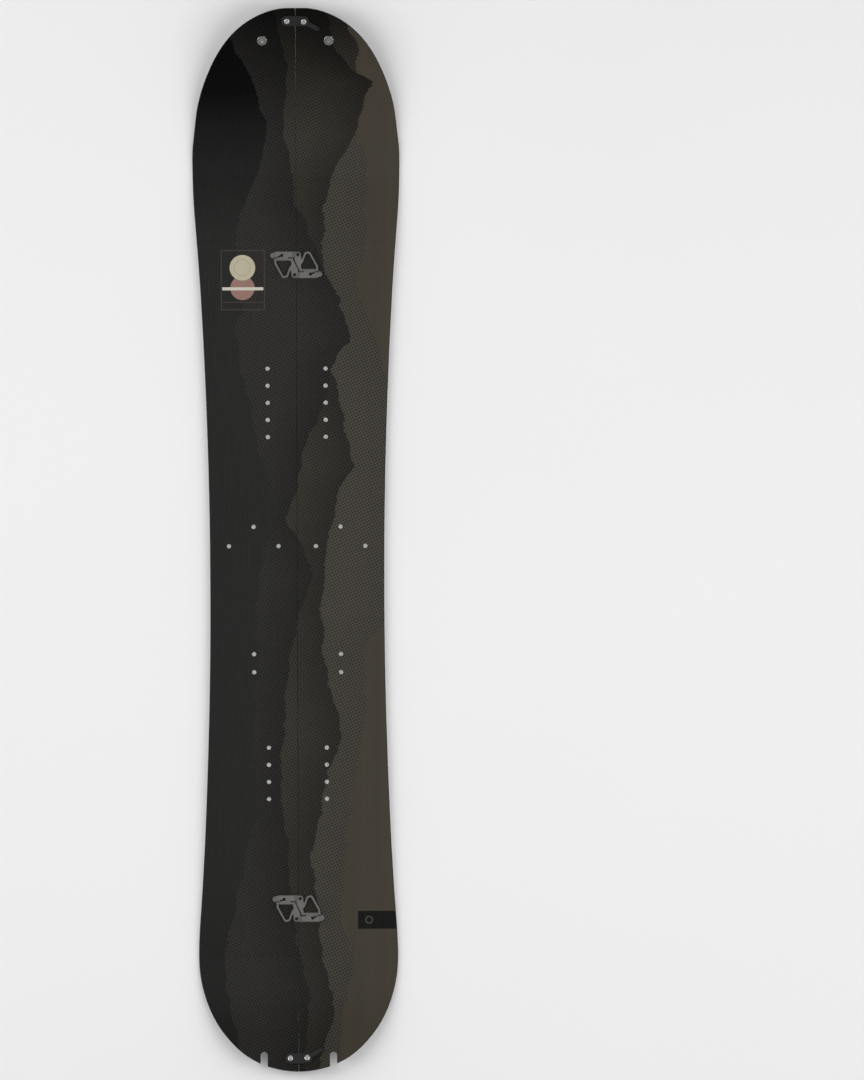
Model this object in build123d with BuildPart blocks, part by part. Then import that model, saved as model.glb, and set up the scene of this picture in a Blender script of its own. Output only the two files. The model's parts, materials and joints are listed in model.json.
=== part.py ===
"""Splitboard: a snowboard in two halves, joined along the seam by clips.

Units are millimetres. X runs across the board (right half positive), Y runs from tail to nose,
Z is up, and the origin is on the ground under the middle of the board. The halves lie joined.
"""

import os
from math import atan, cos, radians, sin, tan

from build123d import *

os.makedirs("parts", exist_ok=True)

# ------------------------------------------------------------------ driving dimensions
# plan shape
board_length = 1580
half_length = board_length / 2
nose_width = 307.6
nose_widest_y = 552
waist_width = 258.6
waist_y = -89
tail_width = 296
tail_widest_y = -620
seam_gap = 0.3
outline_steps = 60
overrun = 2  # how far a cut runs past the surface it goes through

# side shape: flat running base, a bent-up nose and tail, each ending in a straight ramp
nose_contact_y = 540
nose_ramp_y = 720
nose_angle = radians(20)
tail_contact_y = -620
tail_ramp_y = -725
tail_angle = radians(16)

# layer heights, at the middle of the board and at its tips
nose_taper_y = 440
tail_taper_y = -400
base_thickness = 1.3
edge_height = 2.0
core_thickness = (6.2, 2.0)
laminate_thickness = 0.8
topsheet_thickness = 0.6

# widths of the bands around the core
edge_width = 2.2
seam_edge_width = 2.85
sidewall_width = 6
topsheet_inset = 1.0
seam_topsheet_inset = 0.15

# lengthwise ends of the layers
core_nose_y = 715
core_tail_y = -725
guard_nose_y = 756.4
guard_tail_y = -755.4
butt_joints = (660, 600, 540, 300, 100, -90, -260, -450, -620, -672)

# threaded inserts (M6)
insert_hole_radius = 2.5
insert_radius = 4
insert_flange_radius = 8
insert_flange_height = 1.0
insert_floor = 1.4
insert_opening_radius = 3.1
binding_x = 43.1
binding_pitch = 25.4
front_binding_y = 204
front_binding_rows = 5
rear_binding_y = -346.8
rear_binding_rows = 4
touring_x = 64.6
touring_spread = 73.6
touring_apex_y = 19.8
touring_pair_y = -9
riser_y = -183.05
riser_spacing = 26.9

# tip hardware
grommet_x = 49.5
grommet_y = 741.8
grommet_hole_radius = 3.25
grommet_barrel_radius = 4.2
grommet_flange_radius = 7
grommet_flange_height = 0.55
grommet_round = 0.25
notch_x = 51.5
notch_width = 10.5
notch_end_y = -760.7
tip_bolt_x = 12.5
nose_bolt_y = 771.3
tail_bolt_y = -770.8
bolt_radius = 2.5
bolt_head_radius = 3.9
bolt_head_height = 1.8
bolt_head_round = 0.8
bolt_socket_radius = 1.7
bolt_socket_depth = 1.1
bolt_end = 0.5
nut_barrel_radius = 3.4
nut_flange_radius = 4.2

# hook plate and swinging hook that close each tip
hook_plate_radius = 8
hook_plate_thickness = 2.4
hook_mouth_radius = 4.8
hook_ring_radius = 7.8
hook_thickness = 2.0
hook_hub_radius = 4.3
hook_hub_bottom = 0.15
hook_gap = 0.35
hook_play = 0.1
hook_chamfer = 0.4
hook_finger_length = 23
hook_finger_width = 7
hook_tab_height = 1.6
hook_tab_thickness = 1.6
hook_tab_width = 5
hook_tab_root = 0.5
nose_finger_angle = -30
tail_finger_angle = 32
running_clearance = 0.06

# seam clips: one plate and one lever on each half, two clip sets along the seam
front_clip_y = 409.2
rear_clip_y = -548.1
clip_plate_thickness = 3.6
clip_chamfer = 0.75
clip_plate_start_x = -29
clip_plate_low_y = 8
clip_plate_high_y = 19.8
clip_plate_end_x = -5
clip_boss_x = -34.6
clip_boss_y = 13.9
clip_boss_radius = 4.1
clip_boss_step = 0.9
clip_boss_rise = 0.6
clip_keyhole = (-21.2, 13.9)
clip_keyhole_radius = 2.4
clip_keyslot = (-23.9, 12.85)
clip_keyslot_length = 8
clip_keyslot_width = 2.4
clip_keyslot_angle = 21
clip_tongue_x = 2.6
clip_tongue_y = 15
clip_tongue_radius = 4.5
clip_tongue_top = 2.0
clip_tongue_root = 1
clip_slot_radius = 2.2
clip_hinge_y = 8
clip_hinge_z = 2.3
clip_hinge_radius = 2.0
clip_pin_radius = 1.0
clip_knuckles = ((-33, -28.8), (-11.2, -4.6))
clip_knuckle_gap = 0.4
clip_knuckle_relief = 6.4
clip_screw_spots = ((-14.1, 13.4), (-33.5, 13.4))
clip_screw_radius = 2.0
clip_screw_head_radius = 4.0
clip_screw_clearance = 0.1
clip_screw_recess = 0.3
clip_screw_reach = 2.8
clip_screw_socket_depth = 0.9
lever_bottom = 0.4
lever_top = 4.3
lever_eye_bottom = 2.35
lever_eye_recess_radius = 2.1
lever_eye_recess = 1.1
lever_eye_relief = (12, 13)
lever_eye_relief_y = -16
lever_peg_radius = 1.8
lever_peg_bottom = 0.6
# corners of the lever and their radii: outer side of the loop, eye, arm, then the finger hole
lever_outline = (
    ((-32.45, 7.6), 0.9),
    ((-32.45, 1.6), 3),
    ((-20.1, -20.4), 4.2),
    ((-12.4, -18.6), 3.6),
    ((-7.9, -6.4), 0.7),
    ((-6.9, -19.3), 3.9),
    ((1.7, -19.3), 3.9),
    ((1.7, -12.4), 2),
    ((3.1, -8.0), 1.2),
    ((-4.2, 7.6), 0.9),
    ((-8.6, 7.6), 0.9),
    ((-6.9, 0.6), 2),
    ((-10.2, -3.9), 2),
    ((-14.6, -15.9), 2.4),
    ((-18.9, -16.9), 2.4),
    ((-29.35, 2.4), 3),
    ((-29.35, 7.6), 0.9),
)

sides = (("left", -1), ("right", 1))
reach = nose_width  # longer than anything that has to be cut through


# ------------------------------------------------------------------ layer heights
def stack(*thicknesses):
    """Height of the top of a stack of layers, as (middle, tip)."""
    return tuple(sum(t[i] if isinstance(t, tuple) else t for t in thicknesses) for i in (0, 1))


ground = stack(0)
base_top = stack(base_thickness)
edge_top = stack(edge_height)
core_top = stack(edge_height, core_thickness)
laminate_top = stack(edge_height, core_thickness, laminate_thickness)
board_top = stack(edge_height, core_thickness, laminate_thickness, topsheet_thickness)

nose_bend = (nose_ramp_y - nose_contact_y) / sin(nose_angle)
tail_bend = (tail_contact_y - tail_ramp_y) / sin(tail_angle)


def bend_point(contact_y, bend, direction, height, angle):
    """A point on the bent part of a surface, at an angle from the running base."""
    radius = bend - height
    return (contact_y + direction * radius * sin(angle), bend - radius * cos(angle))


def ramp_height(y, contact_y, bend, direction, height, angle):
    """Height of a surface on the straight ramp at a tip."""
    start_y, start_z = bend_point(contact_y, bend, direction, height, angle)
    return start_z + (y - start_y) * direction * tan(angle)


def nose_height(y, height):
    return ramp_height(y, nose_contact_y, nose_bend, 1, height, nose_angle)


def tail_height(y, height):
    return ramp_height(y, tail_contact_y, tail_bend, -1, height, tail_angle)


def surface(level):
    """The side view of one layer surface, from past the tail to past the nose."""
    middle, tip = level
    beyond = half_length + overrun
    tail_end = (-beyond, tail_height(-beyond, tip))
    nose_end = (beyond, nose_height(beyond, tip))
    tail_ramp = bend_point(tail_contact_y, tail_bend, -1, tip, tail_angle)
    tail_middle = bend_point(tail_contact_y, tail_bend, -1, tip, tail_angle / 2)
    nose_ramp = bend_point(nose_contact_y, nose_bend, 1, tip, nose_angle)
    nose_middle = bend_point(nose_contact_y, nose_bend, 1, tip, nose_angle / 2)
    Line(tail_end, tail_ramp)
    ThreePointArc(tail_ramp, tail_middle, (tail_contact_y, tip))
    if middle == tip:
        Line((tail_contact_y, tip), (nose_contact_y, tip))
    else:
        flat = ((tail_taper_y, middle), (nose_taper_y, middle))
        Polyline((tail_contact_y, tip), *flat, (nose_contact_y, tip))
    ThreePointArc((nose_contact_y, tip), nose_middle, nose_ramp)
    Line(nose_ramp, nose_end)
    return tail_end, nose_end


def side_profile(low, high):
    """Side view of the layer between two surfaces."""
    with BuildSketch(Plane.YZ) as profile:
        with BuildLine():
            low_tail, low_nose = surface(low)
            high_tail, high_nose = surface(high)
            Line(low_tail, high_tail)
            Line(low_nose, high_nose)
        make_face()
    return profile.sketch


# ------------------------------------------------------------------ plan shapes
across = (1, 0)
towards_tail = (0, -1)
back_across = (-1, 0)
with BuildLine() as right_side:
    nose_curve = Spline(
        (0, half_length),
        (23, 789.2),
        (41, 785),
        (76.6, 767),
        (112.5, 728.5),
        (139.7, 669),
        (147.6, 636),
        (152.2, 594.6),
        (nose_width / 2, nose_widest_y),
        tangents=(across, towards_tail),
    )
    sidecut = Spline(
        nose_curve @ 1,
        (146.8, 431),
        (137.9, 282),
        (132.2, 134),
        (waist_width / 2, waist_y),
        (131.0, -238),
        (135.8, -387),
        (143.6, -535),
        (tail_width / 2, tail_widest_y),
        tangents=(towards_tail, towards_tail),
    )
    tail_curve = Spline(
        sidecut @ 1,
        (144.9, -654),
        (131.4, -699),
        (102.8, -743.5),
        (88.0, -758),
        (67.8, -773),
        (22, -788.5),
        (0, -half_length),
        tangents=(towards_tail, back_across),
    )


def inset_point(along, inset):
    """A point of the right side's outline, moved square to it into the board."""
    place = right_side.line @ along
    heading = right_side.line % along
    return (place.X + inset * heading.Y, place.Y - inset * heading.X)


def inset_half(side, inset):
    """Half of the board up to its middle line, drawn in from the outline by a distance."""
    points = [inset_point(i / outline_steps, inset) for i in range(outline_steps + 1)]
    with BuildSketch() as inner:
        with BuildLine():
            drawn_in = Spline(*[(side * x, y) for x, y in points])
            Line(drawn_in @ 1, drawn_in @ 0)
        make_face()
    return inner.sketch


def window(side, seam_inset, low_y, high_y, width=reach):
    """A rectangle of one half, from near the seam outwards, between two cross lines."""
    start = seam_gap / 2 + seam_inset
    with BuildSketch() as rectangle:
        with Locations((side * (start + width / 2), (low_y + high_y) / 2)):
            Rectangle(width, high_y - low_y)
    return rectangle.sketch


def half_plan(side, inset, seam_inset, low_y=-half_length, high_y=half_length):
    """One half of the board's plan, drawn in from the outline and from the seam."""
    with BuildSketch() as region:
        add(inset_half(side, inset))
        add(window(side, seam_inset, low_y, high_y), mode=Mode.INTERSECT)
    return region.sketch


def rim_plan(side, width, low_y, high_y):
    """The band of one half that follows the outline."""
    with BuildSketch() as band:
        add(half_plan(side, 0, 0, low_y, high_y))
        add(inset_half(side, width), mode=Mode.SUBTRACT)
    return band.sketch


def layer(region, low, high):
    """Fill one plan region between two surfaces."""
    extrude(side_profile(low, high), amount=reach, both=True)
    extrude(region, amount=reach, both=True, mode=Mode.INTERSECT)


def cut_to_lengths():
    """Part a layer that runs the length of the board at its butt joints."""
    for y in butt_joints:
        split(bisect_by=Plane((0, y, 0), z_dir=(0, 1, 0)), keep=Keep.BOTH)


# ------------------------------------------------------------------ places and holes
def tilted(y, z, angle):
    """A plane across the board, its normal leaning towards the tail by an angle."""
    return Plane(origin=(0, y, z), x_dir=(1, 0, 0), z_dir=(0, -sin(angle), cos(angle)))


def turned(plane, angle, spot=(0, 0)):
    """A plane moved to a spot on another one and turned about its normal."""
    heading = plane.x_dir * cos(radians(angle)) + plane.y_dir * sin(radians(angle))
    return Plane(plane.from_local_coords(Vector(*spot)), heading, plane.z_dir)


middle_top, tip_top = board_top
rear_taper_angle = atan((middle_top - tip_top) / (tail_taper_y - tail_contact_y))
rear_clip_thickness = tip_top + (rear_clip_y - tail_contact_y) * tan(rear_taper_angle)

nose_bolt_plane = tilted(nose_bolt_y, nose_height(nose_bolt_y, tip_top), nose_angle)
tail_bolt_plane = tilted(tail_bolt_y, tail_height(tail_bolt_y, tip_top), -tail_angle)
grommet_plane = tilted(grommet_y, nose_height(grommet_y, tip_top), nose_angle)
front_clip_plane = tilted(front_clip_y, middle_top, 0)
rear_clip_plane = tilted(rear_clip_y, rear_clip_thickness, rear_taper_angle)

tips = (
    ("nose", nose_bolt_plane, nose_finger_angle),
    ("tail", tail_bolt_plane, tail_finger_angle),
)
clip_sets = (
    ("front", front_clip_plane, middle_top),
    ("rear", rear_clip_plane, rear_clip_thickness),
)


def discs(plane, spots, radius, bottom, top, mode=Mode.ADD):
    """Round columns at several spots, between two heights above a plane."""
    with BuildSketch(plane.offset(bottom)) as marks:
        with Locations(*spots):
            Circle(radius)
    extrude(marks.sketch, amount=top - bottom, mode=mode)


def column(middle_y, rows):
    """Places along Y of a row of inserts, one pitch apart."""
    return [middle_y + (i - (rows - 1) / 2) * binding_pitch for i in range(rows)]


def binding_spots(side):
    rows = column(front_binding_y, front_binding_rows) + column(rear_binding_y, rear_binding_rows)
    return [(side * binding_x, y) for y in rows]


def touring_spots(side):
    """Toe bracket triangle and heel riser pair of one half."""
    toe = [(touring_x, touring_apex_y)]
    toe += [(touring_x + offset_x, touring_pair_y) for offset_x in (-touring_spread / 2, touring_spread / 2)]
    heel = [(touring_x, riser_y + offset_y) for offset_y in (-riser_spacing / 2, riser_spacing / 2)]
    return [(side * x, y) for x, y in toe + heel]


def unit_spots(side, spots):
    """Clip spots of one half: the right unit is the left one turned half round."""
    return [(-side * x, -side * y) for x, y in spots]


def cut_insert_openings(side):
    discs(Plane.XY, binding_spots(side) + touring_spots(side), insert_opening_radius, 0, reach, Mode.SUBTRACT)


def cut_clip_screws(side):
    """Stepped holes for the clip screws, their heads let into the base."""
    spots = unit_spots(side, clip_screw_spots)
    shank = clip_screw_radius + clip_screw_clearance
    head = clip_screw_head_radius + clip_screw_clearance
    for _, plane, thickness in clip_sets:
        low = -thickness - overrun
        head_top = edge_height - thickness + clip_screw_clearance
        discs(plane, spots, shank, low, overrun, Mode.SUBTRACT)
        discs(plane, spots, head, low, head_top, Mode.SUBTRACT)


def cut_tip_bolts(side, radius):
    for _, plane, _ in tips:
        spot = [(side * tip_bolt_x, 0)]
        discs(plane, spot, radius, -tip_top - overrun, overrun, Mode.SUBTRACT)


def cut_grommet(side):
    spot = [(side * grommet_x, 0)]
    low = -tip_top - overrun
    discs(grommet_plane, spot, grommet_barrel_radius, low, overrun, Mode.SUBTRACT)


def cut_notch(side):
    """Open slot in the tail that holds the clip of a climbing skin."""
    length = notch_end_y + half_length + notch_width
    round_y = notch_end_y - notch_width / 2
    with BuildSketch() as slot:
        with Locations((side * notch_x, round_y)):
            Circle(notch_width / 2)
        with Locations((side * notch_x, round_y - length / 2)):
            Rectangle(notch_width, length)
    extrude(slot.sketch, amount=reach, mode=Mode.SUBTRACT)


# ------------------------------------------------------------------ the two halves
for side_name, side in sides:

    with BuildPart() as topsheet:
        layer(half_plan(side, topsheet_inset, seam_topsheet_inset), laminate_top, board_top)
        cut_insert_openings(side)
        cut_clip_screws(side)
        cut_tip_bolts(side, bolt_radius)
        cut_grommet(side)
        cut_notch(side)
    topsheet.part.label = f"{side_name}_topsheet"
    export_step(topsheet.part, f"parts/{side_name}_topsheet.step")

    with BuildPart() as upper_laminate:
        layer(half_plan(side, topsheet_inset, seam_topsheet_inset), core_top, laminate_top)
        cut_insert_openings(side)
        cut_clip_screws(side)
        cut_tip_bolts(side, bolt_radius)
        cut_grommet(side)
        cut_notch(side)
    upper_laminate.part.label = f"{side_name}_upper_laminate"
    export_step(upper_laminate.part, f"parts/{side_name}_upper_laminate.step")

    with BuildPart() as core:
        layer(
            half_plan(side, sidewall_width, sidewall_width, core_tail_y, core_nose_y),
            edge_top,
            core_top,
        )
        insert_spots = binding_spots(side) + touring_spots(side)
        flange_top = edge_height + insert_flange_height
        discs(Plane.XY, insert_spots, insert_radius, 0, reach, Mode.SUBTRACT)
        discs(Plane.XY, insert_spots, insert_flange_radius, 0, flange_top, Mode.SUBTRACT)
        cut_clip_screws(side)
        cut_to_lengths()
    core.part.label = f"{side_name}_core"
    export_step(core.part, f"parts/{side_name}_core.step")

    with BuildPart() as outer_sidewall:
        layer(rim_plan(side, sidewall_width, core_tail_y, core_nose_y), edge_top, core_top)
        cut_to_lengths()
    outer_sidewall.part.label = f"{side_name}_outer_sidewall"
    export_step(outer_sidewall.part, f"parts/{side_name}_outer_sidewall.step")

    with BuildPart() as inner_sidewall:
        layer(window(side, 0, core_tail_y, core_nose_y, sidewall_width), edge_top, core_top)
        cut_to_lengths()
    inner_sidewall.part.label = f"{side_name}_inner_sidewall"
    export_step(inner_sidewall.part, f"parts/{side_name}_inner_sidewall.step")

    with BuildPart() as nose_spacer:
        layer(half_plan(side, 0, 0, core_nose_y, half_length), edge_top, core_top)
        cut_tip_bolts(side, nut_barrel_radius)
        cut_grommet(side)
    nose_spacer.part.label = f"{side_name}_nose_spacer"
    export_step(nose_spacer.part, f"parts/{side_name}_nose_spacer.step")

    with BuildPart() as tail_spacer:
        layer(half_plan(side, 0, 0, -half_length, core_tail_y), edge_top, core_top)
        cut_tip_bolts(side, nut_barrel_radius)
        cut_notch(side)
    tail_spacer.part.label = f"{side_name}_tail_spacer"
    export_step(tail_spacer.part, f"parts/{side_name}_tail_spacer.step")

    with BuildPart() as lower_laminate:
        layer(
            half_plan(side, edge_width, seam_edge_width, guard_tail_y, guard_nose_y),
            base_top,
            edge_top,
        )
        cut_clip_screws(side)
        cut_grommet(side)
    lower_laminate.part.label = f"{side_name}_lower_laminate"
    export_step(lower_laminate.part, f"parts/{side_name}_lower_laminate.step")

    with BuildPart() as base:
        layer(
            half_plan(side, edge_width, seam_edge_width, guard_tail_y, guard_nose_y),
            ground,
            base_top,
        )
        cut_clip_screws(side)
        cut_grommet(side)
        cut_to_lengths()
    base.part.label = f"{side_name}_base"
    export_step(base.part, f"parts/{side_name}_base.step")

    with BuildPart() as outer_edge:
        layer(rim_plan(side, edge_width, guard_tail_y, guard_nose_y), ground, edge_top)
        cut_to_lengths()
    outer_edge.part.label = f"{side_name}_outer_edge"
    export_step(outer_edge.part, f"parts/{side_name}_outer_edge.step")

    with BuildPart() as inner_edge:
        layer(window(side, 0, guard_tail_y, guard_nose_y, seam_edge_width), ground, edge_top)
        cut_to_lengths()
    inner_edge.part.label = f"{side_name}_inner_edge"
    export_step(inner_edge.part, f"parts/{side_name}_inner_edge.step")

    with BuildPart() as nose_guard:
        layer(half_plan(side, 0, 0, guard_nose_y, half_length), ground, edge_top)
        cut_tip_bolts(side, nut_flange_radius)
    nose_guard.part.label = f"{side_name}_nose_guard"
    export_step(nose_guard.part, f"parts/{side_name}_nose_guard.step")

    with BuildPart() as tail_guard:
        layer(half_plan(side, 0, 0, -half_length, guard_tail_y), ground, edge_top)
        cut_tip_bolts(side, nut_flange_radius)
        cut_notch(side)
    tail_guard.part.label = f"{side_name}_tail_guard"
    export_step(tail_guard.part, f"parts/{side_name}_tail_guard.step")

    with BuildPart() as nose_grommet:
        spot = [(side * grommet_x, 0)]
        low_face = -tip_top
        discs(grommet_plane, spot, grommet_barrel_radius, low_face, 0)
        discs(grommet_plane, spot, grommet_flange_radius, 0, grommet_flange_height)
        discs(grommet_plane, spot, grommet_flange_radius, low_face - grommet_flange_height, low_face)
        discs(grommet_plane, spot, grommet_hole_radius, low_face - overrun, overrun, Mode.SUBTRACT)
        rims = nose_grommet.edges().filter_by(GeomType.CIRCLE).group_by(SortBy.RADIUS)[-1]
        fillet(rims, grommet_round)
    nose_grommet.part.label = f"{side_name}_nose_grommet"
    export_step(nose_grommet.part, f"parts/{side_name}_nose_grommet.step")

    for insert_name, spots in (
        ("binding_inserts", binding_spots(side)),
        ("touring_inserts", touring_spots(side)),
    ):
        with BuildPart() as inserts:
            barrel_top = core_top[0]
            discs(Plane.XY, spots, insert_radius, edge_height, barrel_top)
            discs(Plane.XY, spots, insert_flange_radius, edge_height, edge_height + insert_flange_height)
            discs(Plane.XY, spots, insert_hole_radius, edge_height + insert_floor, barrel_top, Mode.SUBTRACT)
        inserts.part.label = f"{side_name}_{insert_name}"
        export_step(inserts.part, f"parts/{side_name}_{insert_name}.step")


# ------------------------------------------------------------------ tip hooks
def bolt(plane, spot, seat):
    """A button-head bolt, from its seat under the head down through the board."""
    head_top = seat + bolt_head_height
    discs(plane, [spot], bolt_radius, bolt_end - tip_top, seat)
    discs(plane, [spot], bolt_head_radius, seat, head_top)
    rims = faces().filter_by(GeomType.PLANE).sort_by(Axis(plane.origin, plane.z_dir))[-1].edges()
    fillet(rims, bolt_head_round)
    with BuildSketch(plane.offset(head_top)) as socket:
        with Locations(spot):
            RegularPolygon(bolt_socket_radius, 6)
    extrude(socket.sketch, amount=-bolt_socket_depth, mode=Mode.SUBTRACT)


def nut(plane, spot):
    """A flanged nut let into the base, up to the top of the tip spacer."""
    spacer_top = -laminate_thickness - topsheet_thickness
    discs(plane, [spot], nut_barrel_radius, -tip_top, spacer_top)
    discs(plane, [spot], nut_flange_radius, -tip_top, edge_height - tip_top)
    discs(plane, [spot], bolt_radius, -tip_top, spacer_top, Mode.SUBTRACT)


for tip_name, plane, finger_angle in tips:
    fixed_spot = (-tip_bolt_x, 0)
    pivot_spot = (tip_bolt_x, 0)
    hook_bottom = hook_plate_thickness + hook_gap
    hook_top = hook_bottom + hook_thickness

    with BuildPart() as hook_plate:
        with BuildSketch(plane) as plate_shape:
            with Locations(fixed_spot, pivot_spot):
                Circle(hook_plate_radius)
            make_hull()
            with Locations(pivot_spot):
                Circle(hook_mouth_radius, mode=Mode.SUBTRACT)
            with Locations((tip_bolt_x + hook_plate_radius, 0)):
                Rectangle(2 * hook_plate_radius, 2 * hook_mouth_radius, mode=Mode.SUBTRACT)
        extrude(amount=hook_plate_thickness)
        top_rim = hook_plate.faces().sort_by(Axis(plane.origin, plane.z_dir))[-1].edges()
        chamfer(top_rim, hook_chamfer)
        with BuildSketch(plane) as clear_of_right_half:
            with Locations((reach / 2 - seam_gap, 0)):
                Rectangle(reach, 4 * hook_plate_radius)
        extrude(clear_of_right_half.sketch, amount=hook_gap, mode=Mode.SUBTRACT)
        discs(plane, [fixed_spot], bolt_radius, 0, hook_plate_thickness, Mode.SUBTRACT)
    hook_plate.part.label = f"{tip_name}_hook_plate"
    export_step(hook_plate.part, f"parts/{tip_name}_hook_plate.step")

    with BuildPart() as hook:
        finger_plane = turned(plane, finger_angle, pivot_spot)
        with BuildSketch(finger_plane.offset(hook_bottom)):
            Circle(hook_ring_radius)
            with Locations((hook_finger_length / 2, 0)):
                SlotCenterToCenter(hook_finger_length, hook_finger_width)
        extrude(amount=hook_thickness)
        top_rim = hook.faces().sort_by(Axis(plane.origin, plane.z_dir))[-1].edges()
        chamfer(top_rim, hook_chamfer)
        with BuildSketch(finger_plane.offset(hook_top - hook_tab_root)):
            with Locations((hook_finger_length, 0)):
                SlotOverall(hook_tab_width, hook_tab_thickness, rotation=90)
        extrude(amount=hook_tab_root + hook_tab_height)
        discs(plane, [pivot_spot], hook_hub_radius, hook_hub_bottom, hook_bottom)
        discs(plane, [pivot_spot], bolt_radius + running_clearance, 0, hook_top, Mode.SUBTRACT)
    hook.part.label = f"{tip_name}_hook"
    export_step(hook.part, f"parts/{tip_name}_hook.step")

    with BuildPart() as fixed_bolt:
        bolt(plane, fixed_spot, hook_plate_thickness)
    fixed_bolt.part.label = f"{tip_name}_plate_bolt"
    export_step(fixed_bolt.part, f"parts/{tip_name}_plate_bolt.step")

    with BuildPart() as pivot_bolt:
        bolt(plane, pivot_spot, hook_top + hook_play)
    pivot_bolt.part.label = f"{tip_name}_pivot_bolt"
    export_step(pivot_bolt.part, f"parts/{tip_name}_pivot_bolt.step")

    with BuildPart() as fixed_nut:
        nut(plane, fixed_spot)
    fixed_nut.part.label = f"{tip_name}_plate_nut"
    export_step(fixed_nut.part, f"parts/{tip_name}_plate_nut.step")

    with BuildPart() as pivot_nut:
        nut(plane, pivot_spot)
    pivot_nut.part.label = f"{tip_name}_pivot_nut"
    export_step(pivot_nut.part, f"parts/{tip_name}_pivot_nut.step")


# ------------------------------------------------------------------ seam clips
def hinge_bar(unit, low_x, high_x, radius, mode=Mode.ADD):
    """A round bar along the hinge axis of a clip unit."""
    centre = unit.from_local_coords(Vector(low_x, clip_hinge_y, clip_hinge_z))
    with BuildSketch(Plane(centre, unit.y_dir, unit.x_dir)) as section:
        Circle(radius)
    extrude(section.sketch, amount=high_x - low_x, mode=mode)


for set_name, set_plane, thickness in clip_sets:
    for side_name, side in sides:
        # both units are drawn as the left one
        unit = turned(set_plane, 0 if side < 0 else 180)
        up = Axis(unit.origin, unit.z_dir)

        with BuildPart() as clip_plate:
            with BuildSketch(unit) as body_shape:
                with Locations((clip_boss_x, clip_boss_y)):
                    Circle(clip_boss_radius)
                block_x = (clip_plate_start_x + clip_plate_end_x) / 2
                block_y = (clip_plate_low_y + clip_plate_high_y) / 2
                with Locations((block_x, block_y)):
                    Rectangle(
                        clip_plate_end_x - clip_plate_start_x,
                        clip_plate_high_y - clip_plate_low_y,
                    )
                make_hull()
                with Locations(clip_keyhole):
                    Circle(clip_keyhole_radius, mode=Mode.SUBTRACT)
                with Locations(clip_keyslot):
                    SlotOverall(
                        clip_keyslot_length,
                        clip_keyslot_width,
                        rotation=clip_keyslot_angle,
                        mode=Mode.SUBTRACT,
                    )
            extrude(amount=clip_plate_thickness)
            chamfer(clip_plate.faces().sort_by(up)[-1].outer_wire().edges(), clip_chamfer)
            with BuildSketch(unit.offset(lever_bottom)) as tongue_shape:
                with Locations((clip_tongue_x, clip_tongue_y)):
                    Circle(clip_tongue_radius)
                with Locations((clip_plate_end_x - clip_tongue_root / 2, clip_tongue_y)):
                    Rectangle(clip_tongue_root, 2 * clip_tongue_radius)
                make_hull()
                with Locations((clip_tongue_x, clip_tongue_y)):
                    Circle(clip_slot_radius, mode=Mode.SUBTRACT)
                with Locations((clip_tongue_x + clip_tongue_radius, clip_tongue_y)):
                    Rectangle(2 * clip_tongue_radius, 2 * clip_slot_radius, mode=Mode.SUBTRACT)
            extrude(tongue_shape.sketch, amount=clip_tongue_top - lever_bottom)
            for low_x, high_x in clip_knuckles:
                with BuildSketch(unit.offset(-overrun)) as notch:
                    with Locations(((low_x + high_x) / 2, clip_hinge_y)):
                        Rectangle(high_x - low_x + 2 * clip_knuckle_gap, clip_knuckle_relief)
                extrude(notch.sketch, amount=reach, mode=Mode.SUBTRACT)
            barrel_start = clip_knuckles[0][1] + clip_knuckle_gap
            barrel_end = clip_knuckles[1][0] - clip_knuckle_gap
            hinge_bar(unit, barrel_start, barrel_end, clip_hinge_radius)
            hinge_bar(unit, barrel_start, barrel_end, clip_pin_radius, Mode.SUBTRACT)
            boss = [(clip_boss_x, clip_boss_y)]
            boss_radius = clip_boss_radius - clip_boss_step
            boss_top = clip_plate_thickness + clip_boss_rise
            discs(unit, boss, boss_radius, clip_plate_thickness, boss_top)
            discs(unit, clip_screw_spots, clip_screw_radius, 0, clip_screw_reach, Mode.SUBTRACT)
        clip_plate.part.label = f"{set_name}_{side_name}_clip_plate"
        export_step(clip_plate.part, f"parts/{set_name}_{side_name}_clip_plate.step")

        with BuildPart() as clip_lever:
            # the finger loop and the arm that crosses the seam, drawn round as one outline
            with BuildSketch(unit.offset(lever_bottom)) as lever_shape:
                with BuildLine():
                    FilletPolyline(
                        *[corner for corner, _ in lever_outline],
                        radius=[radius for _, radius in lever_outline],
                        close=True,
                    )
                make_face()
            extrude(amount=lever_top - lever_bottom)
            chamfer(clip_lever.faces().sort_by(up)[-1].edges(), clip_chamfer)
            # clear of the tongue below the eye
            with BuildSketch(unit) as under_eye:
                with Locations((-clip_tongue_x, lever_eye_relief_y)):
                    Rectangle(*lever_eye_relief)
            extrude(under_eye.sketch, amount=lever_eye_bottom, mode=Mode.SUBTRACT)
            eye_spot = [(-clip_tongue_x, -clip_tongue_y)]
            discs(unit, eye_spot, lever_peg_radius, lever_peg_bottom, lever_eye_bottom)
            recess_floor = lever_top - lever_eye_recess
            discs(unit, eye_spot, lever_eye_recess_radius, recess_floor, lever_top, Mode.SUBTRACT)
            for low_x, high_x in clip_knuckles:
                hinge_bar(unit, low_x, high_x, clip_hinge_radius)
                hinge_bar(unit, low_x, high_x, clip_pin_radius + running_clearance, Mode.SUBTRACT)
        clip_lever.part.label = f"{set_name}_{side_name}_clip_lever"
        export_step(clip_lever.part, f"parts/{set_name}_{side_name}_clip_lever.step")

        with BuildPart() as clip_pin:
            hinge_bar(unit, clip_knuckles[0][0], clip_knuckles[1][1], clip_pin_radius)
        clip_pin.part.label = f"{set_name}_{side_name}_clip_pin"
        export_step(clip_pin.part, f"parts/{set_name}_{side_name}_clip_pin.step")

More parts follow.
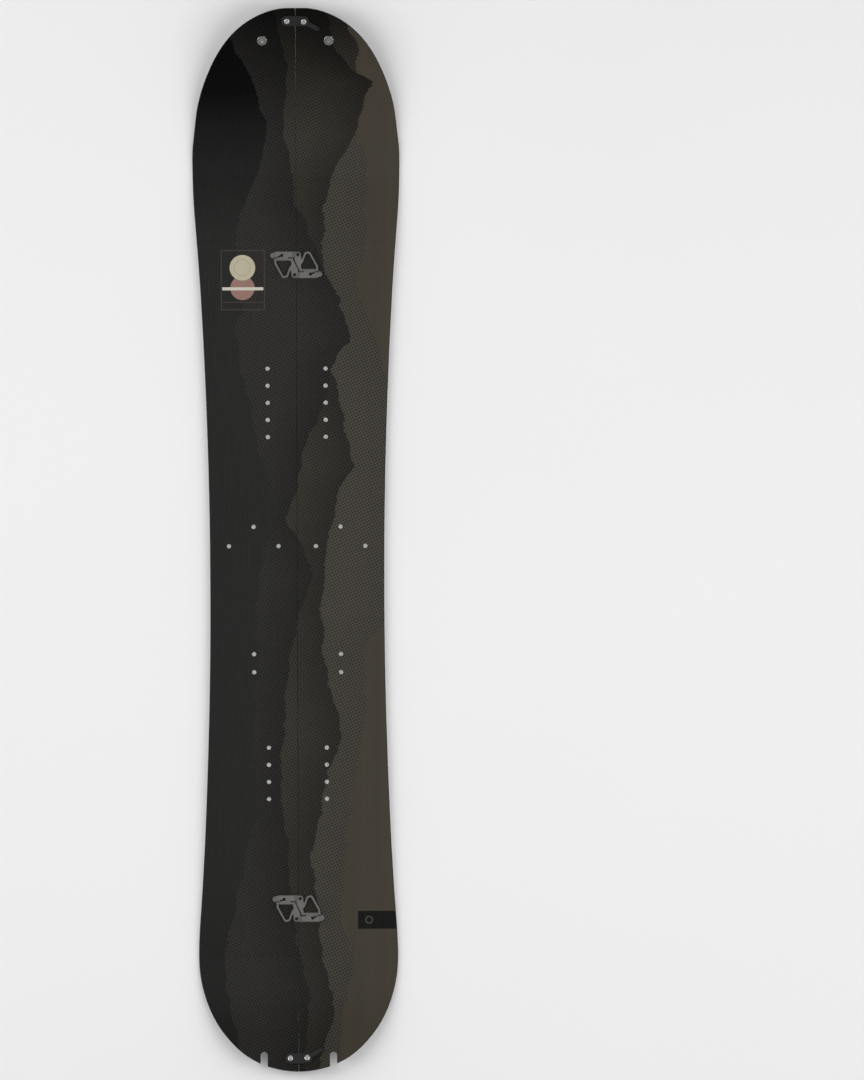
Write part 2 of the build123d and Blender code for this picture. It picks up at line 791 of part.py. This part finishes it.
        with BuildPart() as clip_screws:
            head_bottom = clip_screw_recess - thickness
            head_top = edge_height - thickness
            discs(unit, clip_screw_spots, clip_screw_radius, head_top, clip_screw_reach)
            discs(unit, clip_screw_spots, clip_screw_head_radius, head_bottom, head_top)
            with BuildSketch(unit.offset(head_bottom)) as sockets:
                with Locations(*clip_screw_spots):
                    RegularPolygon(bolt_socket_radius, 6)
            extrude(sockets.sketch, amount=clip_screw_socket_depth, mode=Mode.SUBTRACT)
        clip_screws.part.label = f"{set_name}_{side_name}_clip_screws"
        export_step(clip_screws.part, f"parts/{set_name}_{side_name}_clip_screws.step")
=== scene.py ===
import json
import math

import bmesh
import bpy
from mathutils import Matrix, Vector

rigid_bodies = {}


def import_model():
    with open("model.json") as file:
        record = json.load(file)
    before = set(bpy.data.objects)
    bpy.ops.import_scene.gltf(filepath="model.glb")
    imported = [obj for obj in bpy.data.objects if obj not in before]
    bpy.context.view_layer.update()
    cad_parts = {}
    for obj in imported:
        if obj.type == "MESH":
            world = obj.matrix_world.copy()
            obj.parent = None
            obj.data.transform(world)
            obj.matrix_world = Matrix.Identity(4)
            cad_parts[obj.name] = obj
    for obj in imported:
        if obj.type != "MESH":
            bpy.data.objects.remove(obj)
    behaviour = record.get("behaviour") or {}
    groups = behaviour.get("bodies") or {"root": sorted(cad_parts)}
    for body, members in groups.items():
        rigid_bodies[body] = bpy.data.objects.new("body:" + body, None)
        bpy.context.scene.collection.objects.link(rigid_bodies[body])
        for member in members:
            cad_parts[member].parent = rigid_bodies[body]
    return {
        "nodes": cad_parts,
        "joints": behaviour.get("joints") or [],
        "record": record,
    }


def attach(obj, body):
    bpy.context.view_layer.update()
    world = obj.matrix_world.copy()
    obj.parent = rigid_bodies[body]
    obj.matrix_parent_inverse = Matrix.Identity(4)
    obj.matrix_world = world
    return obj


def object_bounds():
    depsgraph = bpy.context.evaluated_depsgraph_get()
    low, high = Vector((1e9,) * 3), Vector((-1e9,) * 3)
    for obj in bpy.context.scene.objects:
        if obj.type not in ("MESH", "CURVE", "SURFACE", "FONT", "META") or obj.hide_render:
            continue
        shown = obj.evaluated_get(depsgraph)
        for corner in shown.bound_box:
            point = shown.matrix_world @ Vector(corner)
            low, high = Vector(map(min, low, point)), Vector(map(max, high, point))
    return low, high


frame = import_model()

cad_low, cad_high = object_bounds()
nodes = frame["nodes"]
MM = 0.001
PRINT_BLUR = 0.15  # half the width of a printed shape's soft rim, mm


# ------------------------------------------------------------------ node helpers
class Graph:
    """One procedural material, written as expressions over its node sockets."""

    def __init__(self, name):
        self.material = bpy.data.materials.new(name)
        self.material.use_nodes = True
        self.tree = self.material.node_tree
        self.tree.nodes.clear()
        self.output = self.tree.nodes.new("ShaderNodeOutputMaterial")
        place = self.tree.nodes.new("ShaderNodeTexCoord").outputs["Object"]
        self.place = self.vector("SCALE", place, scale=1000)
        self.x, self.y, self.z = self.split(self.place)

    def feed(self, socket, value):
        if isinstance(value, bpy.types.NodeSocket):
            self.tree.links.new(value, socket)
        else:
            socket.default_value = value

    def math(self, operation, *values, clamp=False):
        node = self.tree.nodes.new("ShaderNodeMath")
        node.operation, node.use_clamp = operation, clamp
        for socket, value in zip(node.inputs, values):
            self.feed(socket, value)
        return node.outputs[0]

    def vector(self, operation, first, second=None, scale=None):
        node = self.tree.nodes.new("ShaderNodeVectorMath")
        node.operation = operation
        self.feed(node.inputs[0], first)
        if second is not None:
            self.feed(node.inputs[1], second)
        if scale is not None:
            self.feed(node.inputs["Scale"], scale)
        return node.outputs["Vector"]

    def split(self, vector):
        node = self.tree.nodes.new("ShaderNodeSeparateXYZ")
        self.feed(node.inputs[0], vector)
        return node.outputs[0], node.outputs[1], node.outputs[2]

    def join(self, x=0.0, y=0.0, z=0.0):
        node = self.tree.nodes.new("ShaderNodeCombineXYZ")
        for socket, value in zip(node.inputs, (x, y, z)):
            self.feed(socket, value)
        return node.outputs[0]

    def stretch(self, x, y, z):
        """The place in millimetres, stretched to cells of these lengths."""
        return self.vector("MULTIPLY", self.place, (1 / x, 1 / y, 1 / z))

    def noise(self, place, detail=3, roughness=0.55):
        node = self.tree.nodes.new("ShaderNodeTexNoise")
        node.inputs["Scale"].default_value = 1
        node.inputs["Detail"].default_value = detail
        node.inputs["Roughness"].default_value = roughness
        self.feed(node.inputs["Vector"], place)
        return node.outputs["Fac"]

    def cells(self, place):
        """Distance to the nearest of scattered points, and a random colour for each."""
        node = self.tree.nodes.new("ShaderNodeTexVoronoi")
        node.inputs["Scale"].default_value = 1
        self.feed(node.inputs["Vector"], place)
        return node.outputs["Distance"], node.outputs["Color"]

    def remap(self, value, low, high, to_low=0.0, to_high=1.0):
        node = self.tree.nodes.new("ShaderNodeMapRange")
        for socket, number in zip(node.inputs, (value, low, high, to_low, to_high)):
            self.feed(socket, number)
        return node.outputs[0]

    def mix(self, share, first, second, blend="MIX"):
        node = self.tree.nodes.new("ShaderNodeMix")
        node.data_type, node.blend_type = "RGBA", blend
        self.feed(node.inputs["Factor"], share)
        colours = [s for s in node.inputs if s.type == "RGBA"]
        for socket, value in zip(colours, (first, second)):
            self.feed(socket, (*value, 1) if isinstance(value, tuple) else value)
        return next(s for s in node.outputs if s.type == "RGBA")

    def lighten(self, colour, factor):
        return self.vector("SCALE", colour, scale=factor)

    def curve(self, value, low, high, points):
        """Straight slopes through (place, height) points, heights in millimetres."""
        node = self.tree.nodes.new("ShaderNodeFloatCurve")
        line = node.mapping.curves[0]
        ordered = sorted(points)
        line.points[0].location = (0, (ordered[0][1] - low[1]) / (high[1] - low[1]))
        line.points[1].location = (1, (ordered[-1][1] - low[1]) / (high[1] - low[1]))
        for at, height in ordered[1:-1]:
            share = (height - low[1]) / (high[1] - low[1])
            line.points.new((at - low[0]) / (high[0] - low[0]), share)
        for point in line.points:
            point.handle_type = "VECTOR"
        node.mapping.update()
        self.feed(node.inputs["Value"], self.remap(value, low[0], high[0]))
        return self.remap(node.outputs[0], 0, 1, low[1], high[1])

    def bump(self, height, distance, strength=1.0):
        node = self.tree.nodes.new("ShaderNodeBump")
        node.inputs["Strength"].default_value = strength
        node.inputs["Distance"].default_value = distance * MM
        self.feed(node.inputs["Height"], height)
        return node.outputs[0]

    def surface(self, colour, roughness, normal=None, **settings):
        node = self.tree.nodes.new("ShaderNodeBsdfPrincipled")
        self.feed(node.inputs["Base Color"], (*colour, 1) if isinstance(colour, tuple) else colour)
        self.feed(node.inputs["Roughness"], roughness)
        if normal is not None:
            self.feed(node.inputs["Normal"], normal)
        for name, value in settings.items():
            node.inputs[name.replace("_", " ").title().replace("Ior", "IOR")].default_value = value
        self.tree.links.new(node.outputs[0], self.output.inputs["Surface"])
        return self.material

    def reach(self, x, y):
        """Length of the flat vector (x, y)."""
        squares = self.math("MULTIPLY", x, x), self.math("MULTIPLY", y, y)
        return self.math("SQRT", self.math("ADD", *squares))

    # shapes printed on a flat surface: 1 inside, 0 outside, with a soft rim
    def disc(self, x, y, radius):
        reach = self.reach(self.math("SUBTRACT", self.x, x), self.math("SUBTRACT", self.y, y))
        return self.remap(reach, radius + PRINT_BLUR, radius - PRINT_BLUR)

    def block(self, low, high):
        """A rectangle from one corner to the other."""
        sides = []
        for place, start, end in zip((self.x, self.y), low, high):
            off = self.math("ABSOLUTE", self.math("SUBTRACT", place, (start + end) / 2))
            half = (end - start) / 2
            sides.append(self.remap(off, half + PRINT_BLUR, half - PRINT_BLUR))
        return self.math("MULTIPLY", *sides)

    def frame(self, low, high, width):
        """The outline of a rectangle."""
        inner = self.block((low[0] + width, low[1] + width), (high[0] - width, high[1] - width))
        return self.math("SUBTRACT", self.block(low, high), inner)

    def ring(self, x, y, outer, inner):
        return self.math("SUBTRACT", self.disc(x, y, outer), self.disc(x, y, inner))


def srgb(code):
    """A linear colour from its usual six-digit code."""
    parts = [int(code[i:i + 2], 16) / 255 for i in (0, 2, 4)]
    return tuple(c / 12.92 if c <= 0.04045 else ((c + 0.055) / 1.055) ** 2.4 for c in parts)


# ------------------------------------------------------------------ topsheet
# Ridge lines of the printed layers: (distance towards the nose, distance to the right), in mm
RIDGES = (
    ((790, 62), (728, 94), (690, 90), (655, 104), (605, 88), (572, 106), (505, 104), (430, 104),
     (378, 87), (330, 106), (262, 128), (200, 150), (-100, 150), (-160, 97), (-250, 103),
     (-370, 81), (-450, 72), (-565, 62), (-620, 84), (-700, 66), (-790, 58)),
    ((790, 42), (726, 60), (700, 84), (682, 114), (660, 104), (606, 88), (556, 60), (496, 41),
     (300, 38), (200, 66), (110, 84), (70, 60), (10, 48), (-100, 35), (-180, 40), (-297, 66),
     (-350, 44), (-470, 19),
     (-560, 30), (-640, 40), (-700, 54), (-790, 26)),
    ((790, -36), (738, -22), (700, -13), (595, -17), (546, -5), (500, -1), (462, 18), (380, 53),
     (322, 78), (296, 84), (286, 66), (262, 54), (200, 40), (140, 12), (80, 0), (30, -16),
     (-10, 8), (-57, 24),
     (-110, 2), (-180, -12), (-250, -18), (-360, -27), (-470, -14), (-560, -10), (-640, 6),
     (-680, 19), (-790, 5)),
    ((790, -120), (730, -92), (690, -67), (628, -46), (594, -44), (536, -61), (486, -83),
     (440, -91), (360, -74), (316, -91), (248, -82), (200, -70), (130, -55), (80, -40), (46, -27),
     (10, -40), (-70, -60), (-180, -58), (-300, -67), (-400, -59), (-440, -72), (-500, -84),
     (-560, -98), (-640, -112), (-700, -100), (-790, -80)),
)
RIDGE_STEPS = (30, 9), (5, 4.5)  # length and height of the slow and the quick steps in a ridge, mm
HAZE_DEPTH = 70  # how far from its ridge a layer reaches its far tone, mm
DOT_PITCH, DOT_TURN = 4.27, math.radians(24.6)


def topsheet_material():
    g = Graph("printed_topsheet")
    low, high = (-800, -170), (800, 170)
    streak = g.noise(g.stretch(16, 1200, 16), 1)
    fine = g.noise(g.stretch(0.7, 0.7, 0.7), 2)

    # painted shade: the colour darkens towards both tips, and most at the nose on the left
    def fall(nose_start, nose_end, nose_share, tail_end, tail_share):
        nose = g.remap(g.y, nose_start, nose_end, nose_share, 1.0)
        return g.math("MULTIPLY", nose, g.remap(g.y, -800, tail_end, tail_share, 1.0))

    painted_shade = fall(790, 600, 0.1, -600, 0.72)
    right_painted_shade = fall(800, 700, 0.7, -600, 0.85)
    field_painted_shade = fall(665, 460, 0.05, -500, 0.52)

    # the right field, dimmed by the painted shade towards the tips
    colour = g.lighten(g.mix(streak, srgb("3e3a31"), srgb("474238")), right_painted_shade)
    dotted = None
    layers = (("3c3933", "403d36", painted_shade), ("252420", "33312b", painted_shade),
              ("21201f", "2b2a28", painted_shade), ("252524", "242423", field_painted_shade))
    (slow_length, slow_height), (quick_length, quick_height) = RIDGE_STEPS
    for i, (line, (near, far, painted_dimming)) in enumerate(zip(RIDGES, layers)):
        # fractal steps along the line make the jagged slopes
        slow = g.noise(g.join(0, g.math("DIVIDE", g.y, slow_length), 11.3 * i), 2, 0.5)
        quick = g.noise(g.join(0, g.math("DIVIDE", g.y, quick_length), 7.7 * i), 3, 0.6)
        jag = g.math("ADD", g.remap(slow, 0, 1, -slow_height, slow_height),
                     g.remap(quick, 0, 1, -quick_height, quick_height))
        edge = g.math("ADD", g.curve(g.y, low, high, line), jag)
        inside = g.remap(g.math("SUBTRACT", g.x, edge), 2 * PRINT_BLUR, -2 * PRINT_BLUR)
        # each layer is darkest at its ridge and pales away from it, like haze
        depth = g.remap(g.math("SUBTRACT", edge, g.x), 0, HAZE_DEPTH)
        # each layer's tone is also dimmed by the painted shade towards the tips
        tone = g.lighten(g.mix(depth, srgb(near), srgb(far)), painted_dimming)
        colour = g.mix(inside, colour, tone)
        if i == 0:
            dotted = inside
        if i == len(RIDGES) - 1:
            dotted = g.math("SUBTRACT", dotted, inside, clamp=True)

    # dark dots on a turned square grid, in all layers but the outer two
    cos, sin = math.cos(DOT_TURN), math.sin(DOT_TURN)
    turned_x = g.math("ADD", g.math("MULTIPLY", g.x, cos), g.math("MULTIPLY", g.y, sin))
    turned_y = g.math("SUBTRACT", g.math("MULTIPLY", g.y, cos), g.math("MULTIPLY", g.x, sin))
    cell_x, cell_y = (
        g.math("SUBTRACT", g.math("FRACT", g.math("DIVIDE", place, DOT_PITCH)), 0.5)
        for place in (turned_x, turned_y)
    )
    dot = g.math("MULTIPLY", g.remap(g.reach(cell_x, cell_y), 0.34, 0.2), dotted)
    ink = g.math("SUBTRACT", dotted, g.math("MULTIPLY", dot, 3.6))
    colour = g.lighten(colour, g.remap(ink, -2.6, 1, 0.28, 1.24))
    colour = g.lighten(colour, g.remap(fine, 0.3, 0.7, 0.94, 1.06))

    # a framed badge of two plain discs on the left half
    cream, rose, gold = srgb("c4bda6"), srgb("8a6a62"), srgb("4e463d")
    badge_low, badge_high = (-112, 342), (-47, 431)
    colour = g.mix(g.math("MULTIPLY", g.block(badge_low, badge_high), 0.3), colour, srgb("2a2826"))
    colour = g.mix(g.frame(badge_low, badge_high, 0.9), colour, gold)
    colour = g.mix(g.block((-110, 353.2), (-49, 354.0)), colour, gold)
    mottle = g.noise(g.stretch(5, 5, 5), 4, 0.7)
    colour = g.mix(g.disc(-80, 375, 18), colour, g.mix(mottle, rose, srgb("9a7a70")))
    colour = g.mix(g.disc(-80, 405, 19), colour, g.mix(mottle, cream, srgb("a8a28c")))
    colour = g.mix(g.ring(-80, 405, 12.4, 11.6), colour, srgb("98917b"))
    colour = g.mix(g.block((-110, 371.5), (-49, 376)), colour, srgb("c8c4b6"))
    # a plain dark block with a ring at the right edge, near the tail
    colour = g.mix(g.block((88.6, -578.5), (170, -551.7)), colour, srgb("131312"))
    colour = g.mix(g.ring(105, -565, 6.2, 3.6), colour, srgb("3f3b33"))

    # rubbed finish: fine scuffs along the board, dots pressed slightly in
    scuff = g.noise(g.stretch(1.2, 60, 1.2), 4, 0.6)
    rough = g.remap(scuff, 0.2, 0.8, 0.22, 0.3)
    height = g.math("SUBTRACT", g.math("MULTIPLY", fine, 0.3), dot)
    return g.surface(colour, rough, g.bump(height, 0.02), specular_ior_level=0.15,
                     coat_weight=0.03, coat_roughness=0.2)


# ------------------------------------------------------------------ running base
def base_material():
    g = Graph("sintered_base")
    cloud = g.noise(g.stretch(60, 90, 60), 3)
    grind = g.noise(g.stretch(0.35, 45, 0.35), 3)
    colour = g.mix(cloud, srgb("222223"), srgb("29292a"))
    colour = g.lighten(colour, g.remap(grind, 0.3, 0.7, 0.92, 1.08))
    for size, bigger, kept in ((17, 0.052, 0.5), (9, 0.05, 0.72), (5, 0.06, 0.86)):
        cells = g.join(g.math("DIVIDE", g.x, size), g.math("DIVIDE", g.y, size))
        distance, random = g.cells(cells)
        chance, second, third = g.split(random)
        radius = g.remap(second, 0, 1, 0.3 * bigger, bigger)
        speck = g.math("LESS_THAN", distance, radius)
        speck = g.math("MULTIPLY", speck, g.math("GREATER_THAN", chance, kept))
        speck = g.math("MULTIPLY", speck, g.remap(third, 0, 1, 0.25, 0.9))
        colour = g.mix(speck, colour, srgb("8c8c8c"))
    # a cream block across the nose of the right half, with a plain ring
    colour = g.mix(g.block((37.6, 575.8), (170, 623.4)), colour, srgb("e4ded0"))
    colour = g.mix(g.ring(66, 599.6, 14, 8.5), colour, srgb("1c1c1c"))
    rough = g.remap(grind, 0.25, 0.75, 0.36, 0.5)
    return g.surface(colour, rough, g.bump(grind, 0.012), specular_ior_level=0.4)


# ------------------------------------------------------------------ plain materials of the slots
def metal(name, tone, rough, cell, depth=0.01, variation=0.12, metallic=1.0, spots=0.0,
          **settings):
    """Metal with grain in cells of the given lengths, and darker stains where spots is above 0."""
    g = Graph(name)
    grain = g.noise(g.stretch(*cell), 4, 0.6)
    cloud = g.noise(g.stretch(11, 11, 11), 3)
    colour = g.mix(g.remap(cloud, 0.3, 0.7), tone, tuple(c * (1 - variation) for c in tone))
    colour = g.lighten(colour, g.remap(grain, 0.25, 0.75, 1 - variation, 1 + variation))
    if spots:
        stain = g.remap(g.noise(g.stretch(2.2, 2.2, 2.2), 5, 0.7), 0.55, 0.75)
        colour = g.lighten(colour, g.remap(stain, 0, 1, 1, 1 - spots))
    roughness = g.remap(grain, 0.2, 0.8, rough - 0.06, rough + 0.08)
    return g.surface(colour, roughness, g.bump(grain, depth), metallic=metallic, **settings)


def plastic(name, tone, rough, cell, depth=0.01, variation=0.1, **settings):
    g = Graph(name)
    grain = g.noise(g.stretch(*cell), 4, 0.6)
    colour = g.lighten(tone, g.remap(grain, 0.25, 0.75, 1 - variation, 1 + variation))
    roughness = g.remap(grain, 0.2, 0.8, rough - 0.06, rough + 0.1)
    return g.surface(colour, roughness, g.bump(grain, depth), **settings)


def laminate_material():
    """Clear resin over woven glass cloth."""
    g = Graph("glass_laminate")
    warp = g.math("SINE", g.math("MULTIPLY", g.x, 2.4))
    weft = g.math("SINE", g.math("MULTIPLY", g.y, 2.4))
    weave = g.remap(g.math("MULTIPLY", warp, weft), -1, 1)
    colour = g.mix(weave, srgb("2a2a26"), srgb("3c3b34"))
    return g.surface(colour, g.remap(weave, 0, 1, 0.22, 0.34), g.bump(weave, 0.02), coat_weight=0.4)


def core_material():
    """Long strips of pale wood, with growth rings running along the board."""
    g = Graph("wood_core")
    strip = g.math("FLOOR", g.math("DIVIDE", g.x, 14))
    level = g.math("ADD", strip, g.math("DIVIDE", g.z, 6))
    ripple = g.noise(g.join(g.math("DIVIDE", g.x, 9), g.math("DIVIDE", g.y, 260), level), 3)
    rings = g.remap(g.math("SINE", g.math("MULTIPLY", ripple, 46)), -1, 1)
    fibre = g.noise(g.stretch(0.5, 22, 0.5), 4)
    colour = g.mix(rings, srgb("d8bd8f"), srgb("b98f5c"))
    colour = g.lighten(colour, g.remap(fibre, 0.25, 0.75, 0.86, 1.1))
    rough = g.remap(rings, 0, 1, 0.55, 0.68)
    return g.surface(colour, rough, g.bump(fibre, 0.03), specular_ior_level=0.3)


FINE = (0.5, 0.5, 0.5)
MATERIALS = {
    "topsheet": topsheet_material(),
    "base": base_material(),
    "laminate": laminate_material(),
    "core": core_material(),
    "sidewall": plastic("sidewall_plastic", srgb("151516"), 0.42, (6, 0.4, 0.5), 0.015, 0.18),
    "spacer": plastic("tip_spacer_plastic", srgb("19191a"), 0.45, (3, 0.5, 0.6), 0.015, 0.18),
    "edge": metal("ground_edge_steel", srgb("c4c4c6"), 0.3, (0.5, 30, 0.5), 0.006, 0.1),
    "guard": metal("brushed_aluminium", srgb("9c9ca0"), 0.36, (0.35, 26, 0.35), 0.012, 0.25),
    "insert": metal("insert_steel", srgb("f2f2f0"), 0.3, (0.6, 0.6, 0.6), 0.004, 0.04, 0.55),
    "grommet": metal("grommet_steel", srgb("e8e8e6"), 0.2, (0.8, 0.8, 0.8), 0.004, 0.06),
    "clip": metal("blasted_grey_alloy", srgb("6c6b69"), 0.46, (0.35, 0.35, 0.35), 0.012,
                  variation=0.1, metallic=0.2, spots=0.25, specular_ior_level=0.2),
    "pin": metal("pin_steel", srgb("b4b4b6"), 0.28, (6, 0.4, 0.4), 0.004, 0.1),
    "screw": plastic("black_oxide", srgb("0b0b0c"), 0.42, (0.7, 0.7, 0.7), 0.006,
                     variation=0.2, specular_ior_level=0.3),
    "hook": metal("dark_coated_steel", srgb("131316"), 0.42, FINE, 0.01,
                  variation=0.14, metallic=0.12, spots=0.2),
    "bolt": metal("bright_bolt_steel", srgb("ececea"), 0.24, FINE, 0.004, 0.06, 0.85),
    "nut": metal("nut_steel", srgb("c0c0c0"), 0.3, FINE, 0.004, 0.1),
}
for subpart in frame["record"]["subparts"]:
    mesh = nodes[subpart["node"]].data
    mesh.materials.clear()
    mesh.materials.append(MATERIALS[subpart["material_slot"]])


# ------------------------------------------------------------------ threads in the inserts
THREAD_RADIUS, THREAD_PITCH, THREAD_RIDGE = 2.49, 1.0, 0.28  # mm
THREAD_ROOT, THREAD_CREST = 0.42, 0.08  # half the ridge's height at the wall and at its top, mm
THREAD_BOTTOM, THREAD_TOP = 2.2, 0.8  # how far the thread stays from the insert's ends, mm
THREAD_FADE = 6  # steps in which the ridge rises at each end


def polar(radius, angle, height, x=0.0, y=0.0):
    """A point beside the axis at (x, y) in metres; the radius and height are in millimetres."""
    return x + radius * MM * math.cos(angle), y + radius * MM * math.sin(angle), height * MM


def thread(mesh, x, y, low, high, steps=28):
    """One helical ridge on the wall of a round hole."""
    count = int((high - low) / THREAD_PITCH * steps)
    rows = []
    for i in range(count + 1):
        angle = 2 * math.pi * i / steps
        height = low + THREAD_PITCH * i / steps
        fade = min(1, i / THREAD_FADE, (count - i) / THREAD_FADE)
        crest = THREAD_RADIUS - THREAD_RIDGE * fade
        section = ((THREAD_RADIUS, -THREAD_ROOT), (crest, -THREAD_CREST),
                   (crest, THREAD_CREST), (THREAD_RADIUS, THREAD_ROOT))
        rows.append([mesh.verts.new(polar(r, angle, height + dz, x, y)) for r, dz in section])
    for a, b in zip(rows, rows[1:]):
        for i in range(3):
            mesh.faces.new((a[i], a[i + 1], b[i + 1], b[i]))
        mesh.faces.new((a[3], a[0], b[0], b[3]))
    mesh.faces.new(rows[0][::-1])
    mesh.faces.new(rows[-1])


def loose_parts(obj):
    """The middle of each separate solid of a node, seen from above, and its ends in height."""
    mesh = bmesh.new()
    mesh.from_mesh(obj.data)
    bmesh.ops.remove_doubles(mesh, verts=mesh.verts, dist=1e-6)
    left, middles = set(mesh.verts), []
    while left:
        todo, group = [left.pop()], []
        while todo:
            vert = todo.pop()
            group.append(vert.co.copy())
            for edge in vert.link_edges:
                other = edge.other_vert(vert)
                if other in left:
                    left.discard(other)
                    todo.append(other)
        low = [min(p[i] for p in group) for i in (0, 1, 2)]
        high = [max(p[i] for p in group) for i in (0, 1, 2)]
        middles.append(((low[0] + high[0]) / 2, (low[1] + high[1]) / 2, low[2], high[2]))
    mesh.free()
    return middles


for side in ("left", "right"):
    for kind in ("binding", "touring"):
        source = f"{side}_{kind}_inserts"
        mesh = bmesh.new()
        for x, y, low, high in loose_parts(nodes[source]):
            thread(mesh, x, y, low / MM + THREAD_BOTTOM, high / MM - THREAD_TOP)
        data = bpy.data.meshes.new(f"{source}_threads")
        mesh.normal_update()
        mesh.to_mesh(data)
        mesh.free()
        threads = bpy.data.objects.new(f"{source}_threads", data)
        bpy.context.scene.collection.objects.link(threads)
        data.materials.append(MATERIALS["insert"])
        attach(threads, f"{side}_half")


# ------------------------------------------------------------------ turned pieces of the clips
def turned(name, profile, place, up, body, slot, steps=40):
    """A piece turned about an axis, from (radius, height) in mm; a radius of 0 closes it."""
    mesh = bmesh.new()
    rings = []
    for radius, height in profile:
        if radius == 0:
            rings.append([mesh.verts.new((0, 0, height * MM))])
        else:
            angles = [2 * math.pi * i / steps for i in range(steps)]
            rings.append([mesh.verts.new(polar(radius, angle, height)) for angle in angles])
    for a, b in zip(rings, rings[1:]):
        for i in range(steps):
            corners = [a[i % len(a)], a[(i + 1) % len(a)], b[(i + 1) % len(b)], b[i % len(b)]]
            mesh.faces.new(list(dict.fromkeys(corners)))
    bmesh.ops.recalc_face_normals(mesh, faces=mesh.faces)
    data = bpy.data.meshes.new(name)
    mesh.transform(Matrix.Translation(place) @ up.to_track_quat("Z", "Y").to_matrix().to_4x4())
    mesh.to_mesh(data)
    mesh.free()
    piece = bpy.data.objects.new(name, data)
    bpy.context.scene.collection.objects.link(piece)
    data.materials.append(MATERIALS[slot])
    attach(piece, body)


# a dark button-headed stud in each lever's eye, and a domed rivet on each plate's boss
STUD = ((0, 3.25), (2.02, 3.25), (2.02, 4.33), (2.6, 4.33), (2.6, 4.42), (2.3, 4.62),
        (1.3, 4.72), (1.1, 4.6), (1.1, 3.5), (0, 3.5))
RIVET = ((0, 4.15), (3.0, 4.15), (3.0, 4.32), (2.7, 4.5), (2.2, 4.5), (2.0, 4.34),
         (1.6, 4.34), (1.4, 4.5), (0.7, 4.62), (0, 4.66))
# places in a clip's own directions: across the seam, along it and up, mm
HINGE, EYE, BOSS = (-18.8, 8, 2.3), (-2.6, -15), (-34.6, 13.9)
REAR_RISE, REAR_RUN = 4.2, 220  # slope of the topsheet under the rear clips
for joint in frame["joints"]:
    if not joint["name"].endswith("_clip"):
        continue
    clip = joint["name"]
    facing = 1 if "left" in clip else -1
    lean = math.atan(REAR_RISE / REAR_RUN) if "rear" in clip else 0
    along = Vector((0, math.cos(lean), math.sin(lean))) * facing
    across, up = Vector((facing, 0, 0)), Vector((0, -math.sin(lean), math.cos(lean)))
    hinge = Vector(joint["pos_m"])
    foot = hinge - (across * HINGE[0] + along * HINGE[1] + up * HINGE[2]) * MM
    eye = foot + (across * EYE[0] + along * EYE[1]) * MM
    boss = foot + (across * BOSS[0] + along * BOSS[1]) * MM
    turned(f"{clip}_stud", STUD, eye, up, joint["child"], "screw")
    turned(f"{clip}_rivet", RIVET, boss, up, joint["parent"], "clip")


# ------------------------------------------------------------------ floor, light and camera
FLOOR_HALF, FLOOR_GAP = 14, 0.0005  # m; the gap keeps the floor just under the base


def floor_material():
    g = Graph("pale_floor")
    cloud = g.noise(g.stretch(400, 400, 400), 2)
    return g.surface(g.mix(cloud, (0.9, 0.9, 0.9), (0.92, 0.92, 0.92)), 0.9, specular_ior_level=0.1)


floor_mesh = bmesh.new()
bmesh.ops.create_grid(floor_mesh, x_segments=2, y_segments=2, size=FLOOR_HALF)
floor_data = bpy.data.meshes.new("floor")
floor_mesh.to_mesh(floor_data)
floor_mesh.free()
floor_data.materials.append(floor_material())
floor = bpy.data.objects.new("floor", floor_data)
floor.location.z = cad_low.z - FLOOR_GAP
bpy.context.scene.collection.objects.link(floor)


def softbox(name, place, size_x, size_y, power):
    """A rectangular soft light aimed at the middle of the board."""
    light = bpy.data.lights.new(name, "AREA")
    light.shape, light.size, light.size_y, light.energy = "RECTANGLE", size_x, size_y, power
    lamp = bpy.data.objects.new(name, light)
    lamp.location = place
    lamp.rotation_euler = (-Vector(place)).to_track_quat("-Z", "Y").to_euler()
    bpy.context.scene.collection.objects.link(lamp)


softbox("softbox_left", (-2.6, 0.3, 3.7), 2.0, 4.0, 96)
softbox("softbox_right", (2.6, -0.3, 3.7), 2.0, 4.0, 90)

world = bpy.data.worlds.new("studio")
world.use_nodes = True
bpy.context.scene.world = world
sky = world.node_tree
direction = sky.nodes.new("ShaderNodeTexCoord").outputs["Generated"]
height = sky.nodes.new("ShaderNodeSeparateXYZ")
sky.links.new(direction, height.inputs[0])
# pale round the horizon and dim overhead, so that level faces don't mirror a white sky
fade = sky.nodes.new("ShaderNodeValToRGB")
for stop, (position, grey) in zip(fade.color_ramp.elements, ((0.3, 0.9), (0.65, 0.12))):
    stop.position, stop.color = position, (grey, grey, grey, 1)
sky.links.new(height.outputs[2], fade.inputs[0])
sky.links.new(fade.outputs[0], sky.nodes["Background"].inputs["Color"])
sky.nodes["Background"].inputs["Strength"].default_value = 1.0

# a long lens from straight above, so that the bent-up tips keep their place in plan
SEEN_HEIGHT, FOCUS_HEIGHT = 1.6057, 0.0096  # what the picture's height spans, and at what level
ASIDE, LEAN = 0.2005, math.radians(0.2)
camera_data = bpy.data.cameras.new("camera")
camera_data.lens, camera_data.sensor_width, camera_data.sensor_fit = 1000, 36, "AUTO"
camera_data.clip_end = 120
camera = bpy.data.objects.new("camera", camera_data)
away = SEEN_HEIGHT * camera_data.lens / camera_data.sensor_width
camera.location = (ASIDE, -ASIDE * math.sin(LEAN), FOCUS_HEIGHT + away)
camera.rotation_euler = (0, 0, -LEAN)
bpy.context.scene.collection.objects.link(camera)
bpy.context.scene.camera = camera
bpy.context.scene.view_settings.view_transform = "Standard"
